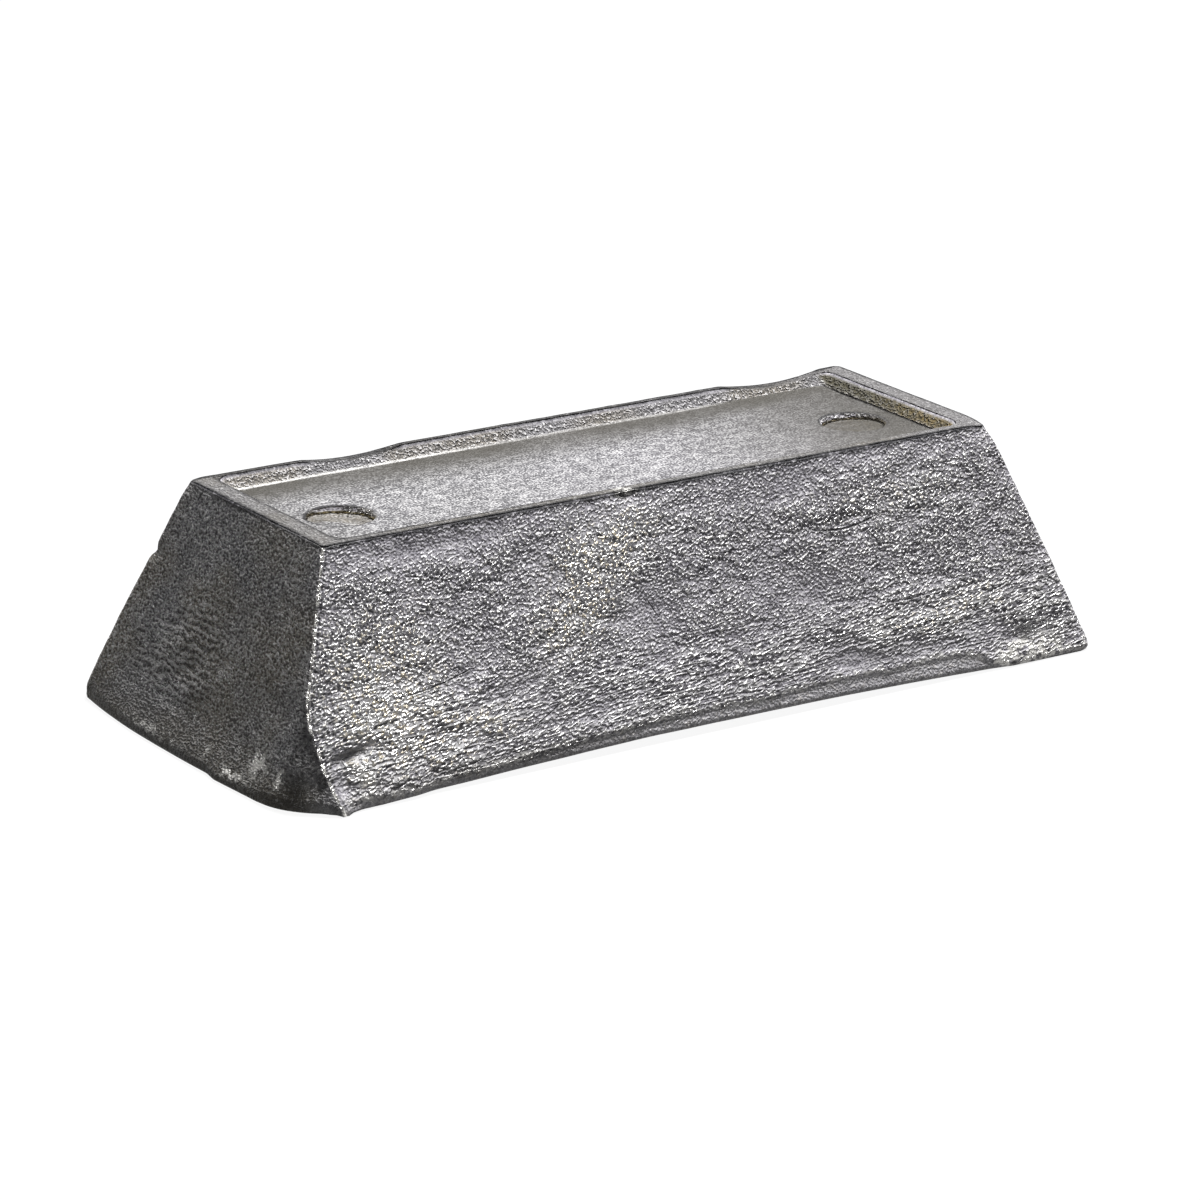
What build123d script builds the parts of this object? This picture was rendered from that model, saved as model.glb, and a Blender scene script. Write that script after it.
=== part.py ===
from build123d import *
from math import tan, radians
import os

os.makedirs("parts", exist_ok=True)

# Body: poured wide face up in a drafted mould, shown as it is stored, wide face down
BASE_LENGTH = 149.0
BASE_WIDTH = 67.5
HEIGHT = 36.5
END_DRAFT = 19.6
SIDE_DRAFT = 20.6

# Upright corners, as radii seen from above: sharp where the mould shaped them,
# rounder toward the base, where the metal drew back from the mould's open end
MOULD_CORNER_RADIUS = 1.6
BASE_CORNER_RADIUS = 3.2
BLUNT_CORNER_RADIUS = 11.0
BLUNT_CORNER_HEIGHT = 19.0
BLUNT_CORNER_STEPS = 3

# Base: its rounded edge, and a shallow hollow between a flat pad at each end
BASE_EDGE_RADIUS = 1.2
PAD_LENGTH = 15.5
HOLLOW_DEPTH = 1.0

# Panel sunk in the top, inside a rim that is a little uneven from side to side
RIM_LEFT = 3.8
RIM_RIGHT = 3.6
RIM_FRONT = 2.0
RIM_BACK = 1.2
RIM_EDGE_RADIUS = 0.5
PANEL_DEPTH = 2.1
PANEL_WALL_RUN = 1.8
PANEL_CORNER_RADIUS = 2.4
PANEL_FLOOR_RADIUS = 0.9
PANEL_LIP_RADIUS = 0.5

# Round marks in the panel floor: how far in from each end of the rim, and forward of the middle
MARK_DIAMETER = 10.9
MARK_INSET = 13.5
MARK_FORWARD = 2.4
MARK_DEPTH = 1.2
MARK_FLOOR_RADIUS = 0.6

# Dips worn into the back rim: how far in from the rim's end, and the length and depth of each
LEFT_DIP_INSET = 28.5
LEFT_DIP_LENGTH = 18.0
LEFT_DIP_DEPTH = 0.8
RIGHT_DIP_INSET = 14.0
RIGHT_DIP_LENGTH = 20.0
RIGHT_DIP_DEPTH = 1.1

TOP_LENGTH = BASE_LENGTH - 2 * HEIGHT * tan(radians(END_DRAFT))
TOP_WIDTH = BASE_WIDTH - 2 * HEIGHT * tan(radians(SIDE_DRAFT))
HOLLOW_LENGTH = BASE_LENGTH - 2 * PAD_LENGTH


def outline(level, length, width, radii):
    """A rectangle with its own radius at each corner: front left, front right, back right, back left."""
    corners = [(-1, -1), (1, -1), (1, 1), (-1, 1)]
    shape = Rectangle(length, width)
    for (side_x, side_y), radius in zip(corners, radii):
        place = (side_x * length / 2, side_y * width / 2, 0)
        corner = shape.vertices().sort_by_distance(place)[0]
        shape = fillet(corner, radius)
    return Pos(0, 0, level) * shape


def bow_radius(length, depth):
    """Radius of the arc that spans a length and rises by a depth."""
    return (length**2 / 4 + depth**2) / (2 * depth)


def section(level, base_share):
    """The block's outline at one level, its corners part of the way from the mould's to the base's."""
    length = BASE_LENGTH - 2 * level * tan(radians(END_DRAFT))
    width = BASE_WIDTH - 2 * level * tan(radians(SIDE_DRAFT))
    base_radii = [BLUNT_CORNER_RADIUS] + [BASE_CORNER_RADIUS] * 3
    radii = [MOULD_CORNER_RADIUS + (radius - MOULD_CORNER_RADIUS) * base_share for radius in base_radii]
    return outline(level, length, width, radii)


def body():
    """The drafted block, with its corners drawn back more and more toward the base."""
    sections = []
    for step in range(BLUNT_CORNER_STEPS + 1):
        rise = step / BLUNT_CORNER_STEPS
        sections.append(section(BLUNT_CORNER_HEIGHT * rise, (1 - rise) ** 2))
    sections.append(section(HEIGHT, 0))
    return loft(sections, ruled=True)


def hollow():
    """The shallow bow along the underside, which leaves a flat pad to rest on at each end."""
    radius = bow_radius(HOLLOW_LENGTH, HOLLOW_DEPTH)
    across = Cylinder(radius, BASE_WIDTH * 2, rotation=(90, 0, 0))
    return Pos(0, 0, HOLLOW_DEPTH - radius) * across


def panel():
    """The sunk panel: an opening inside the rim, sloping walls and a flat floor."""
    length = TOP_LENGTH - RIM_LEFT - RIM_RIGHT
    width = TOP_WIDTH - RIM_FRONT - RIM_BACK
    place = Pos((RIM_LEFT - RIM_RIGHT) / 2, (RIM_FRONT - RIM_BACK) / 2, HEIGHT)
    opening = outline(0, length, width, [PANEL_CORNER_RADIUS] * 4)
    floor_length = length - 2 * PANEL_WALL_RUN
    floor_width = width - 2 * PANEL_WALL_RUN
    floor = outline(-PANEL_DEPTH, floor_length, floor_width, [PANEL_CORNER_RADIUS] * 4)
    sunk = loft([floor, opening], ruled=True)
    foot = sunk.edges().group_by(Axis.Z)[0]
    return place * fillet(foot, PANEL_FLOOR_RADIUS)


def mark(place):
    """One round mark, a flat-floored dent in the panel floor."""
    dent = Cylinder(MARK_DIAMETER / 2, 2 * MARK_DEPTH)
    dent = fillet(dent.edges().group_by(Axis.Z)[0], MARK_FLOOR_RADIUS)
    return Pos(place, -MARK_FORWARD, HEIGHT - PANEL_DEPTH) * dent


def dip(place, length, depth):
    """One worn dip across the back rim."""
    radius = bow_radius(length, depth)
    across = Cylinder(radius, BASE_WIDTH / 2, rotation=(90, 0, 0))
    return Pos(place, TOP_WIDTH / 4 + BASE_WIDTH / 4, HEIGHT - depth + radius) * across


ingot = body() - hollow()

# Round the edge all the way round the underside, but not where the pads meet the hollow
underside = ingot.faces().filter_by(lambda face: face.normal_at().Z < -0.9)
pad_ends = underside.edges().filter_by(Axis.Y).filter_by_position(
    Axis.X, -HOLLOW_LENGTH / 2 - 0.01, HOLLOW_LENGTH / 2 + 0.01
)
base_edges = [edge for edge in underside.edges() if edge not in pad_ends]
ingot = fillet(base_edges, BASE_EDGE_RADIUS)

top_face = ingot.faces().sort_by(Axis.Z)[-1]
ingot = fillet(top_face.edges(), RIM_EDGE_RADIUS)

ingot -= panel()
rim = ingot.faces().sort_by(Axis.Z)[-1]
ingot = fillet(rim.inner_wires()[0].edges(), PANEL_LIP_RADIUS)

ingot -= mark(MARK_INSET - TOP_LENGTH / 2)
ingot -= mark(TOP_LENGTH / 2 - MARK_INSET)
ingot -= dip(LEFT_DIP_INSET - TOP_LENGTH / 2, LEFT_DIP_LENGTH, LEFT_DIP_DEPTH)
ingot -= dip(TOP_LENGTH / 2 - RIGHT_DIP_INSET, RIGHT_DIP_LENGTH, RIGHT_DIP_DEPTH)

export_step(ingot, "parts/ingot.step")
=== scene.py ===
import math

import bpy
import numpy as np
from mathutils import Matrix, Vector, noise


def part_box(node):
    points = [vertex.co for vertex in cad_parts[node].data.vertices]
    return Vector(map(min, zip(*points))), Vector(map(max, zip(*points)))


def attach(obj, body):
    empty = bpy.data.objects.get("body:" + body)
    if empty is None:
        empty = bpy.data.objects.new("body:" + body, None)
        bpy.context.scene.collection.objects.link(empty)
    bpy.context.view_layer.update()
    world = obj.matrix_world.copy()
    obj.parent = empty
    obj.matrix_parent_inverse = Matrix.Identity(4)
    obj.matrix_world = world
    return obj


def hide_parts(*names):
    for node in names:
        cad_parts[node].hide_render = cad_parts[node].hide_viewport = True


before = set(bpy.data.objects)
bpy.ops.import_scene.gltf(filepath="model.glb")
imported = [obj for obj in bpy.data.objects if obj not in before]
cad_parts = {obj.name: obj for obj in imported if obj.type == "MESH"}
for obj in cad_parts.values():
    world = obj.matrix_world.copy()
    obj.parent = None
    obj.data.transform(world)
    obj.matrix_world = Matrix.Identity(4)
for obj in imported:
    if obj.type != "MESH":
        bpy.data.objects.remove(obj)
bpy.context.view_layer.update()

# The ingot: one casting of tin-lead solder metal, poured into an open iron mould and knocked out cold.
# It lies on the face that was open to the air. The mould shaped its drafted sides and its sunk panel,
# and the grain, laps, dents and scuffs on its skin come from the casting and from rough handling.

# Its form, in millimetres
mm = 0.001
base_length = 149.0
base_width = 67.5
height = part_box("ingot")[1].z / mm
end_slope = math.tan(math.radians(19.6))
side_slope = math.tan(math.radians(20.6))
mould_corner = 1.0
base_corner = 2.6
blunt_corner = 11.0
blunt_height = 19.0
base_edge = 1.3
pad_length = 15.5
hollow_depth = 1.0
rim_left = 3.8
rim_right = 3.6
rim_front = 2.0
rim_back = 1.2
rim_edge = 0.35
panel_depth = 2.1
panel_wall_run = 1.8
panel_corner = 2.4
panel_foot = 0.5
panel_lip = 0.25
mark_radius = 5.45
mark_inset = 13.5
mark_forward = 2.4
mark_depth = 1.2
left_dip_inset = 28.5
left_dip_length = 18.0
left_dip_depth = 0.8
right_dip_inset = 14.0
right_dip_length = 20.0
right_dip_depth = 1.1
top_length = base_length - 2 * height * end_slope
top_width = base_width - 2 * height * side_slope
hollow_length = base_length - 2 * pad_length
floor_level = height - panel_depth

# How finely its skin is laid out: steps along the straight runs and corners of a ring, and between rings
long_steps = 224
short_steps = 80
corner_steps = 22
edge_steps = 4
row_gap = 0.61


def ring(left, right, front, back, radii, level):
    """One closed ring of points, anticlockwise from the middle of the front left corner."""
    corners = [(left, front), (right, front), (right, back), (left, back)]
    inward = [(1, 1), (-1, 1), (-1, -1), (1, -1)]
    arcs = []
    for index, radius in enumerate(radii):
        centre = np.array(corners[index]) + np.array(inward[index]) * radius
        turn = math.pi * (1 + index / 2) + np.linspace(0, math.pi / 2, corner_steps + 1)
        arcs.append(centre + radius * np.stack([np.cos(turn), np.sin(turn)], axis=1))
    half = corner_steps // 2
    points = []
    for index, arc in enumerate(arcs):
        next_arc = arcs[(index + 1) % 4]
        steps = long_steps if index % 2 == 0 else short_steps
        side = np.linspace(arc[-1], next_arc[0], steps + 1)
        points += [arc[half:-1], side[:-1], next_arc[:half]]
    flat = np.concatenate(points)
    return np.column_stack([flat, np.full(len(flat), level)])


def wall_ring(level, inset=0.0):
    """The outside of the ingot at one level, its corners rounder toward the base."""
    drawn_back = max(0.0, 1 - level / blunt_height) ** 2
    radii = [mould_corner + (full - mould_corner) * drawn_back for full in [blunt_corner] + [base_corner] * 3]
    x = base_length / 2 - level * end_slope - inset
    y = base_width / 2 - level * side_slope - inset
    return ring(-x, x, -y, y, radii, level)


def panel_ring(run, level):
    """The panel's opening, or its foot further in, at one level."""
    x = top_length / 2 - run
    y = top_width / 2 - run
    return ring(rim_left - x, x - rim_right, rim_front - y, y - rim_back, [panel_corner] * 4, level)


def between(first, second, share):
    """A ring part of the way from one ring to another, point by point."""
    return first + (second - first) * np.reshape(share, (-1, 1))


def bow(along, middle, length, depth):
    """A shallow rounded dip along a line, nothing beyond its ends."""
    reach = (along - middle) / (length / 2)
    return depth * np.clip(1 - reach**2, 0, None)


def hollow_lift(outline):
    """How far the hollow underside lies above the pads, round a ring."""
    return bow(outline[:, 0], 0.0, hollow_length, hollow_depth)


def laid_rows(rings, edges):
    """Rows of points from ring to ring, with the edge at each ring rounded off over a distance."""
    rows = [rings[0]]
    for index in range(1, len(rings)):
        here = rings[index]
        before = rings[index - 1] - here
        before /= np.linalg.norm(before, axis=1, keepdims=True)
        meet = here + before * edges[index]
        gap = np.linalg.norm(meet - rows[-1], axis=1).mean()
        count = max(1, round(gap / row_gap))
        start = rows[-1]
        rows += [between(start, meet, [step / count]) for step in range(1, count + 1)]
        if edges[index] > 0:
            after = rings[index + 1] - here
            after /= np.linalg.norm(after, axis=1, keepdims=True)
            leave = here + after * edges[index]
            for step in range(1, edge_steps + 1):
                share = step / edge_steps
                rows.append(meet * (1 - share) ** 2 + here * 2 * share * (1 - share) + leave * share**2)
    return rows


points = []
faces = []


def add_points(new):
    """Keeps new points of the skin and gives back their numbers."""
    first = sum(len(kept) for kept in points)
    points.append(np.asarray(new))
    return np.arange(first, first + len(new))


def add_quads(first, second, third, fourth):
    """Keeps four-cornered faces."""
    corners = [np.ravel(numbers) for numbers in (first, second, third, fourth)]
    faces.extend(np.column_stack(corners).tolist())


def add_rows(rows, numbers):
    """Lays faces from row to row, the first of which is there already, and gives back the last row."""
    for row in rows[1:]:
        upper = add_points(row)
        add_quads(numbers, np.roll(numbers, -1), np.roll(upper, -1), upper)
        numbers = upper
    return numbers


def grid_inside(numbers, outline, long_count, short_count):
    """Fills a ring with a grid and gives back its numbers, long way first."""
    closed = np.vstack([outline, outline[:1]])
    corner = [0, long_count, long_count + short_count, 2 * long_count + short_count, len(outline)]
    front, right, back, left = [closed[corner[i]:corner[i + 1] + 1] for i in range(4)]
    back, left = back[::-1], left[::-1]
    s = np.linspace(0, 1, long_count + 1)[:, None, None]
    t = np.linspace(0, 1, short_count + 1)[None, :, None]
    across = (1 - t) * front[:, None] + t * back[:, None]
    along = (1 - s) * left[None] + s * right[None]
    ends = (1 - t) * ((1 - s) * front[0] + s * front[-1]) + t * ((1 - s) * back[0] + s * back[-1])
    spread = across + along - ends
    found = np.zeros((long_count + 1, short_count + 1), int)
    round_again = np.append(numbers, numbers[0])
    found[:, 0] = round_again[corner[0]:corner[1] + 1]
    found[-1, :] = round_again[corner[1]:corner[2] + 1]
    found[:, -1] = round_again[corner[2]:corner[3] + 1][::-1]
    found[0, :] = round_again[corner[3]:corner[4] + 1][::-1]
    inner = add_points(spread[1:-1, 1:-1].reshape(-1, 3))
    found[1:-1, 1:-1] = inner.reshape(long_count - 1, short_count - 1)
    return found, spread


# The outside, from the underside round the base edge, up the walls, over the rim and down into the panel
long_count = long_steps + corner_steps
short_count = short_steps + corner_steps
under_inset = 3.0
coarse_inset = 5.0
floor_border = 1.5
blunt_third = blunt_height / 3
foot_wall = wall_ring(blunt_third)
base_ring = wall_ring(0.0)
base_ring = between(base_ring, foot_wall, hollow_lift(base_ring) / blunt_third)
under_ring = wall_ring(0.0, under_inset)
under_ring[:, 2] = hollow_lift(under_ring)
shoulder_wall = wall_ring(blunt_height)
top_ring = wall_ring(height)
lip_ring = panel_ring(0.0, height)
foot_ring = panel_ring(panel_wall_run, floor_level)
floor_ring = panel_ring(panel_wall_run + floor_border, floor_level)


def rim_dips(outline):
    """How far the worn back rim lies below its full height, round a ring."""
    back = np.clip((outline[:, 1] - (top_width / 2 - 4)) / 2, 0, 1)
    left = bow(outline[:, 0], left_dip_inset - top_length / 2, left_dip_length, left_dip_depth)
    right = bow(outline[:, 0], top_length / 2 - right_dip_inset, right_dip_length, right_dip_depth)
    return (left + right) * back


worn_top = between(top_ring, shoulder_wall, rim_dips(top_ring) / (height - blunt_height))
worn_lip = between(lip_ring, foot_ring, rim_dips(lip_ring) / panel_depth)
rings = [under_ring, base_ring, foot_wall, wall_ring(2 * blunt_third), shoulder_wall,
         worn_top, worn_lip, foot_ring, floor_ring]
edges = [0, base_edge, 0, 0, 0, rim_edge, panel_lip, panel_foot, 0]
rows = laid_rows(rings, edges)
under_numbers = add_points(rows[0])
floor_numbers = add_rows(rows, under_numbers)

# The panel's floor, with a round mark sunk in it near each end
floor_grid, floor_spread = grid_inside(floor_numbers, rows[-1], long_count, short_count)
floor_open = np.ones((long_count, short_count), bool)
mark_margin = 1.6
mark_wall_run = 0.5
mark_floor_border = 1.5
mark_lip = 0.35
mark_foot = 0.5


def sink_mark(middle_x, roughness, deep_side, least):
    """Cuts a square out of the floor's grid and lays a round mark in it, deeper toward one side."""
    middle = np.array([middle_x, -mark_forward])
    near = np.abs(floor_spread[:, :, :2] - middle).max(axis=2) < mark_radius + mark_margin
    a, b = np.nonzero(near)
    a0, a1, b0, b1 = a.min(), a.max(), b.min(), b.max()
    floor_open[a0:a1, b0:b1] = False
    around = [(i, b0) for i in range(a0, a1)] + [(a1, j) for j in range(b0, b1)]
    around += [(i, b1) for i in range(a1, a0, -1)] + [(a0, j) for j in range(b1, b0, -1)]
    square = np.array([floor_spread[i, j] for i, j in around])
    numbers = np.array([floor_grid[i, j] for i, j in around])
    turn = np.arctan2(square[:, 1] - middle[1], square[:, 0] - middle[0])
    circles = [square]
    foot_radius = mark_radius - mark_wall_run
    disc_radius = foot_radius - mark_floor_border
    for radius, drop in ((mark_radius, 0), (foot_radius, mark_depth), (disc_radius, mark_depth)):
        jagged = radius + roughness * (np.sin(7 * turn + 0.4) + np.sin(13 * turn + 2.0))
        circle = np.column_stack([np.cos(turn), np.sin(turn)]) * jagged[:, None] + middle
        tilt = least + (1 - least) / 2 * (1 + np.cos(turn - math.radians(deep_side)))
        circles.append(np.column_stack([circle, square[:, 2] - drop * tilt]))
    mark_rows = laid_rows(circles, [0, mark_lip, mark_foot, 0])
    last = add_rows(mark_rows, numbers)
    disc, _ = grid_inside(last, mark_rows[-1], a1 - a0, b1 - b0)
    add_quads(disc[:-1, :-1], disc[1:, :-1], disc[1:, 1:], disc[:-1, 1:])


sink_mark(mark_inset - top_length / 2, roughness=0.10, deep_side=45, least=0.1)
sink_mark(top_length / 2 - mark_inset, roughness=0.03, deep_side=100, least=0.4)
add_quads(floor_grid[:-1, :-1][floor_open], floor_grid[1:, :-1][floor_open],
          floor_grid[1:, 1:][floor_open], floor_grid[:-1, 1:][floor_open])

# The underside, on a coarser grid
coarse = 3
coarse_ring = wall_ring(0.0, coarse_inset)[::coarse]
coarse_ring[:, 2] = hollow_lift(coarse_ring)
coarse_numbers = add_points(coarse_ring)
for index, inner in enumerate(coarse_numbers):
    inner_next = coarse_numbers[(index + 1) % len(coarse_numbers)]
    outer = [under_numbers[(coarse * index + step) % len(under_numbers)] for step in range(coarse + 1)]
    faces.append([int(outer[1]), int(outer[0]), int(inner)])
    faces.append([int(outer[2]), int(outer[1]), int(inner), int(inner_next)])
    faces.append([int(outer[3]), int(outer[2]), int(inner_next)])
coarse_counts = (long_count // coarse, short_count // coarse)
under_grid, _ = grid_inside(coarse_numbers, coarse_ring, *coarse_counts)
add_quads(under_grid[:-1, 1:], under_grid[1:, 1:], under_grid[1:, :-1], under_grid[:-1, :-1])

# Leave out the points of the floor's grid that the marks took away
skin = np.concatenate(points)
used = np.zeros(len(skin), bool)
for face in faces:
    used[face] = True
renumber = np.cumsum(used) - 1
faces = [[int(renumber[number]) for number in face] for face in faces]
skin = skin[used]

# Its skin, in millimetres out of the plain form: uneven walls, laps that lie along them, a smooth band
# round the base where the metal drew back, and the chips, dents and folds of this casting
plain = bpy.data.meshes.new("plain_form")
plain.from_pydata(skin.tolist(), [], faces)
outward = np.empty(len(skin) * 3, np.float32)
plain.vertex_normals.foreach_get("vector", outward)
outward = outward.reshape(-1, 3).astype(float)
bpy.data.meshes.remove(plain)
x, y, z = skin.T
up = outward[:, 2]
sideways = outward * (1, 1, 0)
sideways /= np.maximum(np.linalg.norm(sideways, axis=1, keepdims=True), 0.001)


def smooth(value, low, high):
    """Nothing below low, one above high, and a smooth rise between."""
    share = np.clip((value - low) / (high - low), 0, 1)
    return share * share * (3 - 2 * share)


def lumps(size, stretch=(1, 1, 1), start=0.0):
    """Smooth random lumps of one size all over the skin, from about -1 to 1."""
    places = skin / (size * np.array(stretch)) + start
    return np.array([noise.noise(place) for place in places.tolist()])


def patch(along, across, middle, reach, turn=0.0):
    """A soft oval patch on a wall: one in its middle and nothing far off."""
    c = math.cos(math.radians(turn))
    s = math.sin(math.radians(turn))
    u = along - middle[0]
    v = across - middle[1]
    return np.exp(-((u * c + v * s) / reach[0]) ** 2 - ((v * c - u * s) / reach[1]) ** 2)


underside = smooth(-up, 0.6, 0.9)
wall = (1 - smooth(up, 0.45, 0.6)) * (1 - underside)
top = 1 - wall - underside
front = smooth(-outward[:, 1], 0.5, 0.8) * wall
left_end = smooth(-outward[:, 0], 0.5, 0.8) * wall
flat_top = top * smooth(up, 0.8, 0.95)
sunk = smooth(height - z, 0.9, 1.7)
panel_floor = flat_top * sunk
inner_wall = (top - flat_top) * smooth(height - z, 0.15, 0.5)

# The fold down the blunt corner, where the dark end wraps round on to the front
facing = np.degrees(np.arctan2(outward[:, 1], outward[:, 0])) % 360
corner_radius = mould_corner + (blunt_corner - mould_corner) * np.clip(1 - z / blunt_height, 0, 1) ** 2
fold_facing = 225 + 30 * (1 - smooth(z, 7, 17))
far_off = 3.0
past_fold = np.where(left_end > 0.5, -far_off, far_off)
near_corner = wall * smooth(-x, 50, 54) * smooth(-y, 8, 12)
past_fold = np.where(near_corner > 0, corner_radius * np.radians(facing - fold_facing), past_fold)
past_fold = np.clip(past_fold, -far_off, far_off)
fold = near_corner * np.exp(-(past_fold / 0.7) ** 2) * (1 - smooth(z, 14, 22))
end_side = wall * (past_fold < 0)

low_down = 1 - smooth(z, 7, 20)
lap_share = wall * np.clip(0.12 + 0.88 * low_down + 0.45 * smooth(x, 10, 60), 0, 1)
lap_lines = 1 - 2 * np.abs(lumps(2.4, (4.5, 4.5, 1), 31.0))
band_top = 1.5 + 0.5 * lumps(16, (1, 1, 4), 3.0)
band_top += front * (2.0 * smooth(x, -58, 0) - 2.9 * smooth(x, 48, 58))
band = wall * (1 - smooth(z, band_top - 0.5, band_top + 0.5))
band_lip = wall * np.exp(-((z - band_top - 0.3) / 0.5) ** 2)

# Lumps all over the skin: where, size, stretch, start and height
even = (1, 1, 1)
above_band = wall * (1 - band)
skin_lumps = [
    (wall, 26, even, 5.0, 0.18),
    (wall, 8, even, 11.0, 0.06),
    (above_band, 2.9, (1.5, 1.5, 0.8), 0.0, 0.04),
    (above_band, 1.5, (1.3, 1.3, 1), 17.0, 0.04),
    (flat_top, 9, even, 21.0, 0.05),
    (flat_top, 2.2, even, 23.0, 0.02),
    (inner_wall, 3, even, 27.0, 0.06),
]
relief = sum(lift * where * lumps(size, stretch, start) for where, size, stretch, start, lift in skin_lumps)

# Laps, the band and its lip, the fold with the beads along it, and the open face underneath
lap_rise = 0.06
band_lip_rise = 0.10
band_depth = 0.08
fold_rise = 0.28
bead_rise = 0.25
relief += lap_rise * lap_lines * lap_share * (1 - band) * (1 - 0.7 * end_side)
relief += band_lip_rise * band_lip - band_depth * band + fold_rise * fold
beads = near_corner * np.exp(-(past_fold / 0.6) ** 2) * smooth(lumps(1.7, start=61.0), 0.0, 0.4)
relief += bead_rise * beads
open_face = 0.3 + 0.2 * lumps(11, start=41.0) + 0.08 * lumps(3.5, start=43.0)
relief -= underside * open_face * smooth(z, 0.05, 0.5)

# Chips, dents, folds and swellings: middle, half sizes, turn in degrees, and height
front_features = [
    ((-8.1, 36.2), (1.2, 0.8), 0, -0.55),
    ((61.5, 4.4), (5.0, 1.6), 4, -0.60),
    ((-63.3, 7.6), (4.2, 0.7), 10, -0.55),
    ((-60.0, 4.4), (2.4, 2.2), 0, 0.45),
    ((-64.6, 4.2), (0.8, 2.6), 0, -0.35),
    ((-49.0, 5.5), (2.2, 2.4), 20, -0.30),
    ((24.0, 9.0), (5.5, 1.3), -4, -0.22),
    ((31.5, 26.6), (8.0, 0.9), 4, -0.20),
    ((31.5, 28.4), (7.0, 1.3), 4, 0.14),
    ((-46.0, 15.0), (8.0, 0.6), 8, -0.14),
]
left_features = [
    ((9.0, 14.5), (4.0, 1.1), -35, 0.16),
    ((5.0, 12.0), (4.5, 1.0), -30, -0.16),
    ((11.0, 17.5), (3.5, 1.0), -40, -0.14),
    ((2.0, 9.5), (4.0, 1.0), -25, 0.14),
    ((-29.0, 5.5), (1.0, 2.6), 12, 0.20),
    ((-24.0, 3.2), (2.0, 1.4), 0, 0.20),
]
for middle, reach, turn, lift in front_features:
    relief += front * lift * patch(x, z, middle, reach, turn)
for middle, reach, turn, lift in left_features:
    relief += left_end * lift * patch(y, z, middle, reach, turn)

# Knocks all along the rim, and the floor's sweep up toward the back wall
rim_edge_near = np.exp(-((z - height) / 0.7) ** 2) * smooth(np.hypot(outward[:, 0], outward[:, 1]), 0.25, 0.6)
knock_depth = 0.16
edge_wear = 0.04
sweep_rise = 0.30
relief += rim_edge_near * (knock_depth * lumps(3.2, start=51.0) - edge_wear)
back_foot = top_width / 2 - rim_back - panel_wall_run
right_foot = top_length / 2 - rim_right - panel_wall_run
relief += sweep_rise * panel_floor * np.exp(-np.abs(y - back_foot) / 2.4)

# A notch in the back left edge, and corners worn down at the rim and the base
notch_depth = 0.55
left_wear = 0.15
right_wear = 0.5
base_wear = 0.5
relief -= notch_depth * wall * smooth(-x, 50, 55) * patch(y, z, (24.2, 25.0), (2.0, 0.8))
relief -= left_wear * patch(x, y, (-61.5, 20.0), (2.6, 2.6)) * smooth(z, height - 3, height - 0.5)
relief -= right_wear * patch(x, y, (61.5, -20.0), (2.6, 2.6)) * smooth(z, height - 4, height - 0.5)
worn_base = base_wear * patch(x, y, (-74.0, 33.5), (5.0, 6.0)) * (1 - smooth(z, 0.0, 3.5))

# The left end swells out toward its base, and a foot of metal ran out under the blunt corner
swell_reach = 1.3
foot_reach = 1.5
end_swell = swell_reach * left_end * (1 - smooth(z, 0, 7)) * bow(y, middle=4, length=56, depth=1)
foot = foot_reach * near_corner * np.exp(-((past_fold + 0.3) / 2.8) ** 2) * (1 - smooth(z, 0.5, 5))
skin = skin + outward * relief[:, None] + sideways * (end_swell + foot)[:, None]
skin += worn_base[:, None] * (0.7, -0.7, 0)
skin[:, 2] = np.clip(skin[:, 2], 0, height)

mesh = bpy.data.meshes.new("ingot_casting")
mesh.from_pydata((skin * mm).tolist(), [], faces)
mesh.validate(verbose=True)
mesh.polygons.foreach_set("use_smooth", np.ones(len(mesh.polygons), bool))
casting = bpy.data.objects.new("ingot_casting", mesh)
bpy.context.collection.objects.link(casting)
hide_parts("ingot")
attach(casting, "root")


def keep_zone(name, share):
    """Keeps how much of one finish each point of the skin shows, from 0 to 1."""
    zone = mesh.attributes.new(name, "FLOAT", "POINT")
    zone.data.foreach_set("value", np.clip(share, 0, 1).astype(np.float32))


# Where each finish shows on the skin: middle, half sizes, turn in degrees and share of each place
calm_places = [
    ((-46.0, 33.8), (17.0, 2.0), 0, 0.9),
    ((-33.0, 12.0), (8.0, 3.2), 10, 0.75),
    ((-28.0, 6.5), (13.0, 2.2), 4, 0.5),
    ((-8.0, 18.5), (7.5, 4.5), 15, 0.75),
    ((-26.0, 27.5), (4.5, 3.0), 10, 0.5),
    ((21.0, 17.5), (10.0, 6.0), 0, 0.65),
    ((14.0, 32.5), (16.0, 2.4), 0, 0.6),
    ((26.5, 6.5), (5.0, 2.2), 0, 0.9),
    ((40.0, 5.0), (14.0, 2.6), 0, 0.8),
    ((-66.2, 3.6), (1.3, 3.4), 0, 0.9),
    ((-63.3, 7.8), (3.8, 0.8), 8, 0.9),
]
bright_places = [
    ((-56.0, 19.0), (11.0, 7.5), 15, 0.55),
    ((-56.0, 11.5), (8.0, 4.5), 20, 0.9),
    ((-62.0, 5.0), (3.0, 2.2), 0, 0.5),
    ((-14.0, 29.0), (11.0, 4.5), 15, 0.7),
    ((-21.0, 19.5), (9.0, 4.5), 20, 0.6),
    ((-45.0, 7.0), (12.0, 4.0), 8, 0.6),
    ((41.0, 28.0), (13.0, 4.0), 0, 0.3),
    ((47.0, 10.5), (16.0, 3.0), 4, 0.45),
]
calm = sum(share * patch(x, z, middle, reach, turn) for middle, reach, turn, share in calm_places)
bright = sum(share * patch(x, z, middle, reach, turn) for middle, reach, turn, share in bright_places)
top_band = smooth(z, 32, 35.5)
below_rim = height - z - rim_dips(np.column_stack([x, y]))
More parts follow.
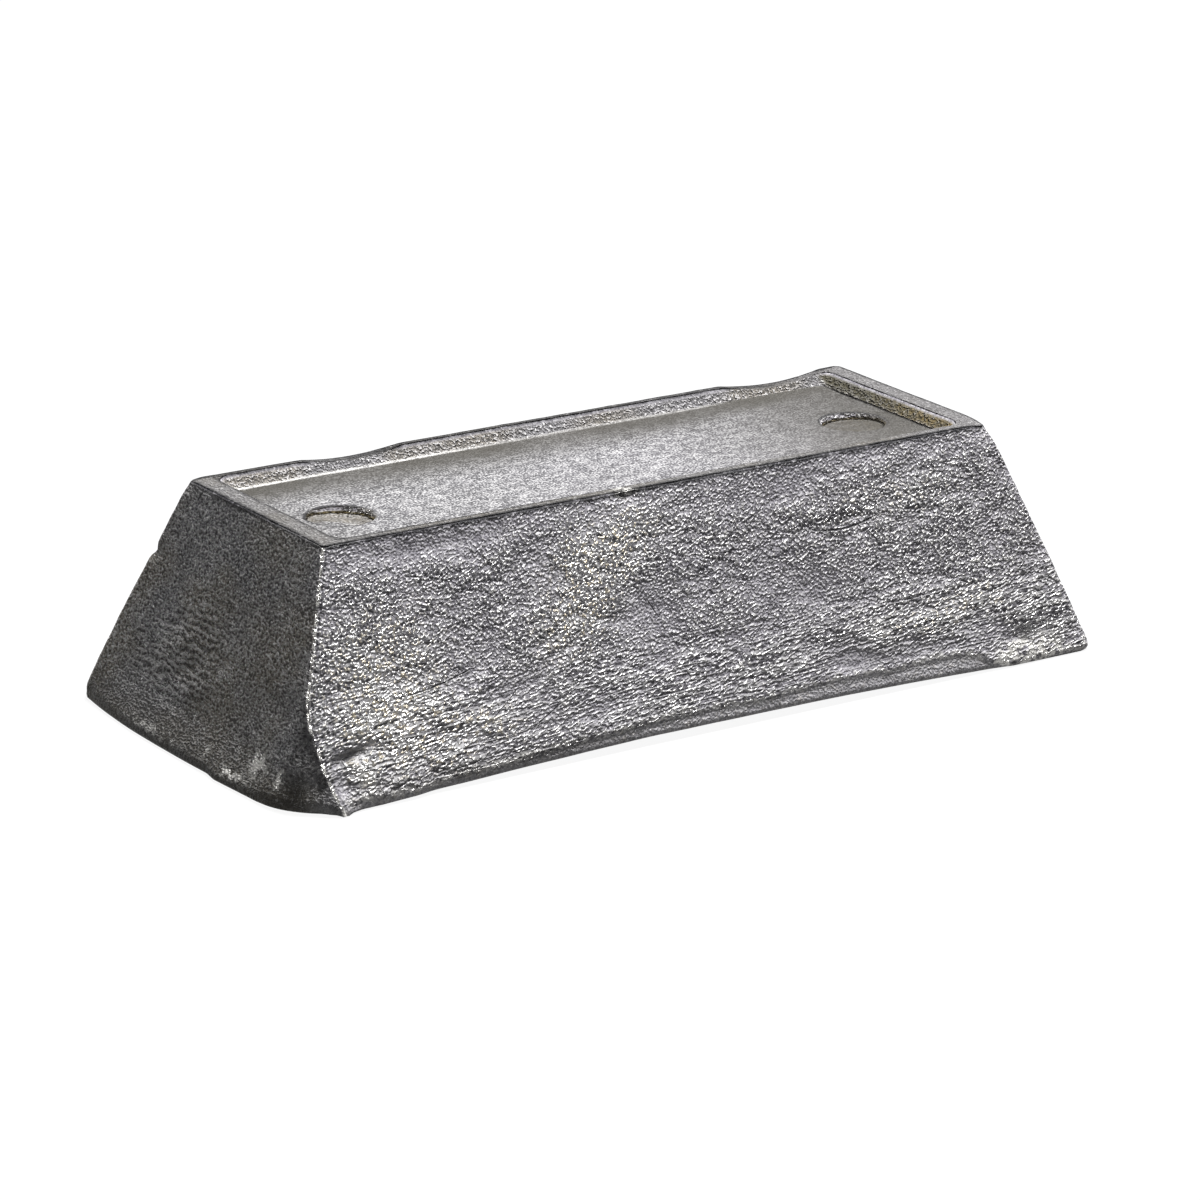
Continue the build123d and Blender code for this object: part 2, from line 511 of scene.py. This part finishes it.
rim_top = flat_top * smooth(below_rim, 0.9, 0.5)
ripple_share = wall * (1 - 0.8 * band) * (1 - 0.5 * top_band) * (1 - np.clip(front * calm, 0, 0.95))
ripple_share *= 1 - 0.3 * front * (1 - np.clip(2 * bright, 0, 1))
keep_zone("ripples", ripple_share + 0.15 * rim_top + 0.5 * underside)
lying_share = np.clip(0.08 + 0.92 * low_down + 0.15 * smooth(x, 10, 60), 0, 1)
keep_zone("laps", wall * lying_share * (1 - band))
keep_zone("wrinkles", left_end * (patch(y, z, (9, 11), (11, 6)) + 0.6 * patch(y, z, (4, 19), (9, 5))))
keep_zone("front_of_fold", 0.5 + past_fold / (2 * far_off))
keep_zone("low_fold", near_corner * (1 - smooth(z, 10, 18)))
# Tarnish on the rim top, the back wall, the underside and the panel's inner walls; on the right-hand inner
# wall its darkness is partly painted shade
rim_tarnish = 0.9 - 0.15 * smooth(x, 30, 52)
back_tarnish = 0.3 * wall * smooth(y, 0, 10)
keep_zone("tarnish_and_painted_shade", back_tarnish + 0.4 * underside + 0.95 * inner_wall + rim_tarnish * rim_top)
pale_panel = 0.85 + 0.15 * smooth(-x, -10, 35)
keep_zone("worn", flat_top * pale_panel * (1 - rim_top))
keep_zone("bright", front * (bright + 0.6 * band))

# Bare metal on knocked edges, and the bright line at the foot of the panel's back wall
scuffs = front * (3.0 * patch(x, z, (61.5, 2.0), (5.0, 1.6)) + patch(x, z, (-61.9, 4.6), (1.3, 2.2)))
scuffs += smooth(-y, 17.5, 19) * patch(x, z, (-8.1, 36.2), (1.6, 0.9))
scuffs += 0.35 * near_corner * smooth(foot, 0.8, 1.6)
back_line = top * sunk * smooth(np.abs(y - back_foot + 0.2), 0.6, 0.2)
back_line *= (0.35 + 0.65 * smooth(-x, 5, 25)) * smooth(-x, -38, -30)
keep_zone("foot_line", back_line)
drip_places = [
    ((-20.0, 5.0), (2.2, 1.8), 0, 0.99),
    ((-26.3, 4.4), (0.6, 1.2), 0, 1.62),
    ((-31.5, 5.8), (0.9, 2.6), 8, 1.44),
    ((-6.7, 3.1), (0.5, 0.7), 0, 1.62),
    ((-15.0, 2.2), (3.0, 0.5), 0, 1.44),
    ((8.0, 2.0), (8.0, 0.5), 0, 0.72),
]
drips = left_end * sum(share * patch(y, z, middle, reach, turn) for middle, reach, turn, share in drip_places)
front_lip = wall * band_lip * (1 - end_side)
keep_zone("bare", scuffs + drips + 0.7 * front_lip)

# Grime and painted shade in the lines along the rim, round the marks, at the base and in the crease, and
# painted shade on the panel floor toward its back wall and its ends
opening_left = rim_left - top_length / 2
opening_right = top_length / 2 - rim_right
opening_front = rim_front - top_width / 2
opening_back = top_width / 2 - rim_back
past_lip = np.max([opening_left - x, x - opening_right, opening_front - y, y - opening_back], axis=0)
within_edge = np.min([x + top_length / 2, top_length / 2 - x, y + top_width / 2, top_width / 2 - y], axis=0)
# Dark lines of painted shade, partly grime: under the panel's lip, along the rim's outer edge, at the base,
# in the crease and round the marks
lip_line = smooth(below_rim, 0.6, 0.3) * smooth(np.abs(past_lip - 0.05), 0.6, 0.3)
lip_line *= np.clip(smooth(-x, 0, 25) + smooth(y, -10, 0), 0.25, 1) * (1 - 0.7 * smooth(x, 45, 55))
edge_line = smooth(below_rim, 1.0, 0.5) * smooth(np.abs(within_edge - 0.15), 0.65, 0.35)
base_line = wall * smooth(z, 0.6, 0.2)
crease = front * patch(x, z, (-63.3, 7.9), (3.6, 0.7), 8)
from_mark = np.hypot(np.abs(x) - (top_length / 2 - mark_inset), y + mark_forward) - mark_radius
mark_edge = top * smooth(np.abs(from_mark + 0.1), 0.5, 0.2) * (0.55 + 0.45 * smooth(y + mark_forward, -4, 1))
grime_and_shade_lines = [0.9 * lip_line, edge_line, 0.5 * base_line, 0.8 * crease, 0.85 * mark_edge]
keep_zone("grime_and_painted_shade", np.max(grime_and_shade_lines, axis=0))
# Painted shade on the panel floor: darkest by its back wall, then toward its right end, and a little toward
# its left end
back_shade = 0.95 * smooth(y, 2.5, 15.5)
right_shade = 0.9 * smooth(x, 5, right_foot)
left_shade = 0.35 * smooth(-x, 44, 58)
painted_panel_shade = panel_floor * np.max([back_shade, right_shade, left_shade], axis=0)
# The dirt zone carries the painted shade on the panel floor, darkening low at the left and on the rim top,
# and a little darkening of the front toward its right
low_left = front * patch(x, z, (-38, 2.4), (26, 1.6)) + 1.4 * left_end * (1 - smooth(z, 2, 9))
# The front a little darker toward its right end
front_darkening_rightward = 0.08 * front * smooth(x, -10, 30)
keep_zone("dirt_and_painted_shade", painted_panel_shade * (1 - back_line) + 0.5 * low_left + 0.55 * rim_top + front_darkening_rightward)

# Stains on the panel's right-hand wall and in the marks, partly painted shade, and a gold colour toward the
# front of that wall and in the marks that is partly stain and partly a painted gleam
right_wall = inner_wall * smooth(x, right_foot - 0.5, right_foot + 0.5)
in_marks = top * smooth(floor_level - z, 0.05, 0.4)
left_mark = smooth(-x, -5, 5)
mark_wall = top - flat_top
keep_zone("stain_and_painted_light", 0.85 * right_wall + in_marks * (0.1 + 0.2 * left_mark + 0.7 * mark_wall))
keep_zone("gold_stain_and_gleam", right_wall * smooth(-y, -8, 12) + 0.8 * in_marks)

# Its metal: violet grey, with light ripple tops that are partly worn metal and partly painted glints, dark
# hollows between them, tarnish and dirt that also carry painted shade, and bare scuffs
metal = bpy.data.materials.new("cast_solder_metal")
metal.use_nodes = True
shader = metal.node_tree.nodes["Principled BSDF"]
shader.inputs["Specular IOR Level"].default_value = 0.1
skin_grey = (0.50, 0.478, 0.53, 1)
panel_grey = (0.25, 0.245, 0.255, 1)
hollow_grey = (0.02, 0.02, 0.022, 1)
ripple_white = (0.90, 0.89, 0.88, 1)
warm_glint_cream = (0.92, 0.82, 0.64, 1)
tarnish_and_shade_grey = (0.30, 0.293, 0.305, 1)
tarnish_and_shade_brown = (0.31, 0.285, 0.25, 1)
tarnish_dark = (0.035, 0.034, 0.032, 1)
ridge_grey = (0.80, 0.78, 0.78, 1)
dirt_and_shade_brown = (0.085, 0.080, 0.070, 1)
gold_stain_and_gleam_colour = (0.26, 0.19, 0.07, 1)
olive_stain_and_shade = (0.10, 0.09, 0.055, 1)
bare_white = (0.90, 0.88, 0.84, 1)


def add_node(kind, inputs, **settings):
    """Adds one node to the metal, with its settings and inputs, and gives back its first output."""
    made = metal.node_tree.nodes.new(kind)
    for name, value in settings.items():
        setattr(made, name, value)
    for name, value in inputs.items():
        if isinstance(value, bpy.types.NodeSocket):
            metal.node_tree.links.new(value, made.inputs[name])
        else:
            made.inputs[name].default_value = value
    return made.outputs[0]


def calc(operation, first, second=0.0):
    """One sum on two numbers."""
    return add_node("ShaderNodeMath", {0: first, 1: second}, operation=operation)


def product(*values):
    """Several shares taken together."""
    result = values[0]
    for value in values[1:]:
        result = calc("MULTIPLY", result, value)
    return result


def rise(value, low, high, start=0.0, end=1.0):
    """A smooth rise from start to end as a value goes from low to high."""
    span = {"Value": value, "From Min": low, "From Max": high, "To Min": start, "To Max": end}
    return add_node("ShaderNodeMapRange", span, interpolation_type="SMOOTHSTEP")


def tint(share, first, second):
    """A colour part of the way from one to another."""
    mixed = metal.node_tree.nodes.new("ShaderNodeMix")
    mixed.data_type = "RGBA"
    for socket, value in ((mixed.inputs[0], share), (mixed.inputs[6], first), (mixed.inputs[7], second)):
        if isinstance(value, bpy.types.NodeSocket):
            metal.node_tree.links.new(value, socket)
        else:
            socket.default_value = value
    return mixed.outputs[2]


def zone(name):
    """How much of one finish shows here."""
    found = metal.node_tree.nodes.new("ShaderNodeAttribute")
    found.attribute_name = name
    return found.outputs["Fac"]


places = metal.node_tree.nodes.new("ShaderNodeTexCoord").outputs["Object"]


def spread(size, stretch=(1, 1, 1), lean=0.0):
    """Places on the metal, counted in steps of one size in millimetres, that may lean to the right."""
    steps = [size * mm * share for share in stretch]
    lay = {"Vector": places, "Rotation": (0, math.radians(-lean), 0), "Scale": steps}
    return add_node("ShaderNodeMapping", lay, vector_type="TEXTURE")


def cloud(size, stretch=(1, 1, 1), detail=2.0, rough=0.5, lean=0.0, swirl=0.0):
    """Random mottling of one size, from 0 to 1, that may lean or swirl."""
    look = {"Vector": spread(size, stretch, lean), "Scale": 1.0, "Detail": detail, "Roughness": rough}
    look["Distortion"] = swirl
    return add_node("ShaderNodeTexNoise", look)


def blend(share, first, second):
    """A number part of the way from one to another."""
    return add_node("ShaderNodeMix", {0: share, 2: first, 3: second})


def lines(mottling, width):
    """Thin winding lines, where a mottling goes through its middle."""
    return rise(calc("ABSOLUTE", calc("SUBTRACT", mottling, 0.5)), width, 0.0)


def scratch(middle, length, turn, width, sag=0.0):
    """One scratch on the front, from its middle, length, turn, width and sag in millimetres."""
    lay = {"Vector": places, "Location": (middle[0] * mm, 0, middle[1] * mm)}
    lay["Rotation"] = (0, math.radians(-turn), 0)
    lay["Scale"] = (length / 2 * mm, mm, width / 2 * mm)
    split = metal.node_tree.nodes.new("ShaderNodeSeparateXYZ")
    metal.node_tree.links.new(add_node("ShaderNodeMapping", lay, vector_type="TEXTURE"), split.inputs[0])
    along, depth, across = split.outputs
    bent = calc("SUBTRACT", 1.0, calc("MULTIPLY", along, along))
    across = calc("ADD", across, product(bent, 2 * sag / width))
    ends = rise(calc("ABSOLUTE", along), 1.0, 0.6)
    return product(ends, rise(calc("ABSOLUTE", across), 1.0, 0.2), rise(depth, -5.0, -10.0))


# Mottling from fine to broad, and the fold with painted shadow in the gaps beside it
grain = cloud(0.34, detail=0.5)
mottle = cloud(5.0, (1.5, 1.5, 1), detail=3.0, rough=0.6)
patches = cloud(18.0, (1.3, 1.3, 1))
ragged = cloud(1.2, rough=0.6)
speckle = blend(0.35, grain, cloud(1.5, (1.6, 1, 1), rough=0.6, swirl=0.4))
fold_place = calc("ADD", zone("front_of_fold"), calc("MULTIPLY", calc("SUBTRACT", ragged, 0.5), 0.05))
end_share = rise(fold_place, 0.51, 0.49)
fold_line = product(rise(fold_place, 0.45, 0.48), rise(fold_place, 0.55, 0.52))
# Painted shadow in the gaps on either side of the fold
end_gap = product(rise(fold_place, 0.46, 0.43), rise(fold_place, 0.16, 0.30), zone("low_fold"))
front_gap = product(rise(fold_place, 0.55, 0.57), rise(fold_place, 0.62, 0.59))
fold_painted_shadow = calc("MAXIMUM", product(end_gap, 0.35), product(front_gap, 0.55))
# The end counts with the tarnish: its darker colours are partly tarnish and partly painted shade on the end
# that faces away from the lamp
tarnish_and_painted_shade = calc("MAXIMUM", zone("tarnish_and_painted_shade"), end_share)
worn = zone("worn")

# The front's crumbs, which lean to the right above and lie in long laps lower down
leaning = cloud(0.38, (1.3, 1.3, 1), detail=0.0, lean=28)
lying = cloud(0.35, (2.1, 2.1, 1), detail=0.0, lean=15)
ripples = blend(zone("laps"), leaning, lying)
uneven = rise(mottle, 0.35, 0.58, 0.6, 1.3)
strength = product(zone("ripples"), uneven, rise(end_share, 0.0, 1.0, 1.0, 0.0))
lap_edges = product(lines(cloud(1.3, (12, 12, 1), detail=1.0, lean=2), 0.08), zone("laps"), strength)

# The end's grain, winding ridges and scaly wrinkles
end_grain = cloud(0.40, (1, 1.4, 0.9), detail=0.5)
winding = lines(cloud(1.2, (1, 1.4, 0.9), detail=1.0, swirl=0.3), 0.08)
webs = product(winding, rise(mottle, 0.42, 0.6, 0.0, 0.7))
waves = {
    "Vector": spread(1.0, (1, 1.3, 1)),
    "Scale": 0.26,
    "Distortion": 7.0,
    "Detail": 1.0,
    "Detail Scale": 1.5,
    "Detail Roughness": 0.5,
}
folds = add_node("ShaderNodeTexWave", waves, bands_direction="Z")
scales = product(rise(folds, 0.70, 0.92), zone("wrinkles"))
between_scales = product(rise(folds, 0.35, 0.10), zone("wrinkles"))
broken = rise(cloud(0.9, (1, 1.4, 1), detail=1.0), 0.38, 0.52, 0.25, 1.0)
end_ridges = product(calc("MAXIMUM", webs, scales), broken, tarnish_and_painted_shade)

# Scratches on the front: middle, length, turn in degrees, width and sag
scratch_places = [
    ((30.5, 26.6), 16.0, 2, 0.4, 1.4),
    ((-29.5, 7.4), 7.5, 25, 0.22, 0.0),
    ((-46.5, 15.2), 13.5, 9, 0.30, 0.4),
    ((-7.2, 19.3), 3.6, -62, 0.28, 0.0),
    ((-12.0, 25.2), 2.2, 0, 0.35, 0.0),
    ((12.0, 14.0), 9.0, 38, 0.16, 0.0),
    ((-36.0, 10.5), 8.0, 34, 0.16, 0.2),
]
scratches = scratch(*scratch_places[0])
for place in scratch_places[1:]:
    scratches = calc("MAXIMUM", scratches, scratch(*place))

# How far the crumbs, laps, grain and ridges stand out, in millimetres
metal_height = product(calc("MAXIMUM", ripples, 0.44), strength, 2.5)
metal_height = calc("ADD", metal_height, product(lap_edges, 0.3))
metal_height = calc("ADD", metal_height, product(grain, rise(tarnish_and_painted_shade, 0.0, 1.0, 0.16, 0.0)))
metal_height = calc("ADD", metal_height, product(end_ridges, 0.5))
metal_height = calc("ADD", metal_height, product(calc("MAXIMUM", end_grain, 0.46), tarnish_and_painted_shade, 1.6))
metal_height = calc("SUBTRACT", metal_height, product(scratches, 0.25))
bumps = add_node("ShaderNodeBump", {"Strength": 1.0, "Distance": mm, "Height": metal_height})

# Colours, from the plain skin to what lies on it
lifted = calc("ADD", ripples, product(zone("bright"), 0.12))
pits = product(rise(ripples, 0.44, 0.36), strength)
# The crumb tops are made light: partly worn metal, partly painted glints
peaks_and_painted_glints = product(rise(lifted, 0.52, 0.59), strength)
colour = tint(worn, skin_grey, panel_grey)
colour = tint(rise(mottle, 0.35, 0.65, 0.0, 0.12), colour, hollow_grey)
colour = tint(product(rise(speckle, 0.49, 0.40), rise(worn, 0.0, 1.0, 0.45, 0.6)), colour, hollow_grey)
colour = tint(product(rise(speckle, 0.51, 0.60), rise(worn, 0.0, 1.0, 0.4, 0.5)), colour, ripple_white)
# The end's colours, partly tarnish and partly painted shade: grey and brown mottling, dark grain, light
# ridges and scales
end_grey = tint(rise(patches, 0.42, 0.58), tarnish_and_shade_grey, tarnish_and_shade_brown)
end_grey = tint(rise(end_grain, 0.45, 0.36, 0.0, 0.8), end_grey, tarnish_dark)
end_grey = tint(rise(end_grain, 0.58, 0.68, 0.0, 0.8), end_grey, ridge_grey)
end_grey = tint(product(between_scales, 0.9), end_grey, tarnish_dark)
end_grey = tint(end_ridges, end_grey, ridge_grey)
# Fine white specks on the end: painted glints
end_grey = tint(rise(cloud(0.5, (1, 1.4, 1), detail=0.0), 0.73, 0.78), end_grey, ripple_white)
colour = tint(tarnish_and_painted_shade, colour, end_grey)
colour = tint(product(zone("bright"), 0.45), colour, ripple_white)
colour = tint(product(pits, rise(zone("bright"), 0.0, 0.6, 0.8, 0.55)), colour, hollow_grey)
# Warm cream on some crumb tops, most in the brighter patches: painted warm glints
creamy = rise(cloud(0.9, detail=1.0, rough=0.6), 0.50, 0.62)
warm = product(creamy, rise(zone("bright"), 0.0, 0.6, 0.15, 1.0))
cream_glints = tint(warm, ripple_white, warm_glint_cream)
colour = tint(product(peaks_and_painted_glints, 0.9), colour, cream_glints)
colour = tint(product(lap_edges, 0.5), colour, ripple_white)
# Dirt, and the painted shade on the panel floor, in brown
colour = tint(product(zone("dirt_and_painted_shade"), rise(patches, 0.3, 0.6, 0.85, 1.0)), colour, dirt_and_shade_brown)
# Olive to gold on the right-hand wall and in the marks: partly stain, partly painted shade and a painted
# gleam
stain_and_gleam_colour = tint(product(zone("gold_stain_and_gleam"), rise(ragged, 0.40, 0.62, 0.25, 0.85)), olive_stain_and_shade, gold_stain_and_gleam_colour)
colour = tint(product(zone("stain_and_painted_light"), rise(ragged, 0.3, 0.45, 0.75, 1.0)), colour, stain_and_gleam_colour)
# Painted shade in those lines and beside the fold, partly grime, together with the dark scratches
grime_and_painted_shade = calc("MAXIMUM", product(zone("grime_and_painted_shade"), rise(ragged, 0.3, 0.5, 0.5, 1.0)), fold_painted_shadow)
grime_and_painted_shade = calc("MAXIMUM", grime_and_painted_shade, scratches)
colour = tint(product(grime_and_painted_shade, 0.9), colour, hollow_grey)
worn_corner = product(fold_line, rise(ragged, 0.40, 0.50))
scraped = rise(calc("ADD", ragged, product(zone("bare"), 0.1)), 0.50, 0.60)
bare = calc("MAXIMUM", product(zone("bare"), scraped), worn_corner)
bare = calc("MAXIMUM", bare, product(zone("foot_line"), rise(ragged, 0.35, 0.5, 0.2, 0.7)))
colour = tint(bare, colour, bare_white)
metal.node_tree.links.new(colour, shader.inputs["Base Color"])

# Shine where the metal is worn or bare, and dullness, most of it on the tarnished, darker places and on the
# worn panel
shine = rise(worn, 0.5, 0.75, 0.0, 0.5)
shine = calc("MAXIMUM", product(shine, rise(tarnish_and_painted_shade, 0.0, 1.0, 1.0, 0.0)), product(peaks_and_painted_glints, 0.3))
shine = calc("MAXIMUM", product(shine, rise(grime_and_painted_shade, 0.0, 1.0, 1.0, 0.2)), product(bare, 0.3))
shine = calc("MAXIMUM", shine, product(worn_corner, 0.9))
metal.node_tree.links.new(shine, shader.inputs["Metallic"])
dullness = calc("ADD", rise(mottle, 0.3, 0.7, 0.38, 0.30), product(tarnish_and_painted_shade, 0.15))
dullness = calc("ADD", dullness, product(worn, 0.25))
dullness = calc("SUBTRACT", dullness, product(bare, 0.1))
metal.node_tree.links.new(dullness, shader.inputs["Roughness"])
metal.node_tree.links.new(bumps, shader.inputs["Normal"])
mesh.materials.append(metal)

# The floor: a plain white sheet that the ingot stands on, wide enough to fill the view. It shows white
# to the camera and in the metal, keeps the ingot's shadow, and throws only a little light back up.
floor_grey = 0.08
floor_glow = 0.92
floor_reach = 4.0
floor_sides = ((-1, -1), (1, -1), (1, 1), (-1, 1))
floor_corners = [(side_x * floor_reach, side_y * floor_reach, 0) for side_x, side_y in floor_sides]
floor_mesh = bpy.data.meshes.new("floor")
floor_mesh.from_pydata(floor_corners, [], [(0, 1, 2, 3)])
floor = bpy.data.objects.new("floor", floor_mesh)
bpy.context.collection.objects.link(floor)
paper = bpy.data.materials.new("white_sheet")
paper.use_nodes = True
paper_shader = paper.node_tree.nodes["Principled BSDF"]
paper_shader.inputs["Base Color"].default_value = (floor_grey, floor_grey, floor_grey, 1)
paper_shader.inputs["Roughness"].default_value = 1.0
paper_shader.inputs["Specular IOR Level"].default_value = 0.0
paper_shader.inputs["Emission Color"].default_value = (1, 1, 1, 1)
sight = paper.node_tree.nodes.new("ShaderNodeLightPath")
seen = sight.outputs["Is Camera Ray"]
for ray in ("Is Glossy Ray", "Is Transmission Ray"):
    either = paper.node_tree.nodes.new("ShaderNodeMath")
    either.operation = "MAXIMUM"
    paper.node_tree.links.new(seen, either.inputs[0])
    paper.node_tree.links.new(sight.outputs[ray], either.inputs[1])
    seen = either.outputs[0]
glow = paper.node_tree.nodes.new("ShaderNodeMath")
glow.operation = "MULTIPLY"
glow.inputs[1].default_value = floor_glow
paper.node_tree.links.new(seen, glow.inputs[0])
paper.node_tree.links.new(glow.outputs[0], paper_shader.inputs["Emission Strength"])
floor_mesh.materials.append(paper)

# The lights: one soft lamp above and to the right, and a small one low down at the left that picks out
# the worn upright corner, in a room that is pale low down behind it to the right and dim elsewhere.
lamp_distance = 1.2
for lamp_name, direction, width, length, energy in (
    ("key_lamp", Vector((0.26, 0.08, 0.96)), 0.3, 0.3, 27.0),
    ("edge_lamp", Vector((-0.76, -0.50, 0.35)), 0.1, 0.5, 0.8),
):
    light = bpy.data.lights.new(lamp_name, "AREA")
    light.shape = "RECTANGLE"
    light.size = width
    light.size_y = length
    light.energy = energy
    lamp = bpy.data.objects.new(lamp_name, light)
    lamp.location = direction.normalized() * lamp_distance
    lamp.rotation_euler = direction.to_track_quat("Z", "Y").to_euler()
    bpy.context.collection.objects.link(lamp)
world = bpy.data.worlds.new("room")
world.use_nodes = True
room = world.node_tree
room_places = room.nodes.new("ShaderNodeTexCoord")
least_light = 0.06


def room_shade(direction, low, high, start, end):
    """The room's light, from start to end as one looks more and more in a direction."""
    toward = room.nodes.new("ShaderNodeVectorMath")
    toward.operation = "DOT_PRODUCT"
    toward.inputs[1].default_value = direction
    room.links.new(room_places.outputs["Generated"], toward.inputs[0])
    shade = room.nodes.new("ShaderNodeMapRange")
    shade.interpolation_type = "SMOOTHSTEP"
    for name, value in (("From Min", low), ("From Max", high), ("To Min", start), ("To Max", end)):
        shade.inputs[name].default_value = value
    room.links.new(toward.outputs["Value"], shade.inputs["Value"])
    return shade.outputs[0]


room_light = room.nodes.new("ShaderNodeMath")
room_light.operation = "MULTIPLY_ADD"
room.links.new(room_shade((0, 0, 1), 0.25, 0.75, 1.0, 0.0), room_light.inputs[0])
room.links.new(room_shade((0.56, 0.83, 0), 0.2, 0.9, 0.0, 0.7), room_light.inputs[1])
room_light.inputs[2].default_value = least_light
room.links.new(room_light.outputs[0], room.nodes["Background"].inputs["Strength"])
room.nodes["Background"].inputs["Color"].default_value = (1, 1, 1, 1)
bpy.context.scene.world = world

# The camera: a long lens at the photograph's angle, in front to the left and a little above.
view_azimuth = math.radians(-34.0)
view_elevation = math.radians(18.28)
view_roll = math.radians(0.63)
view_distance = 784.8 * mm
view_aim = Vector((-0.325, -1.93, 12.54)) * mm
backward = Vector((
    math.sin(view_azimuth) * math.cos(view_elevation),
    -math.cos(view_azimuth) * math.cos(view_elevation),
    math.sin(view_elevation),
))
lens = bpy.data.cameras.new("camera")
lens.lens = 150.0
lens.sensor_width = 36.0
camera = bpy.data.objects.new("camera", lens)
camera.location = view_aim + backward * view_distance
level_view = backward.to_track_quat("Z", "Y").to_matrix()
camera.rotation_euler = (level_view @ Matrix.Rotation(view_roll, 3, "Z")).to_euler()
bpy.context.collection.objects.link(camera)
bpy.context.scene.camera = camera
bpy.context.scene.view_settings.view_transform = "Standard"
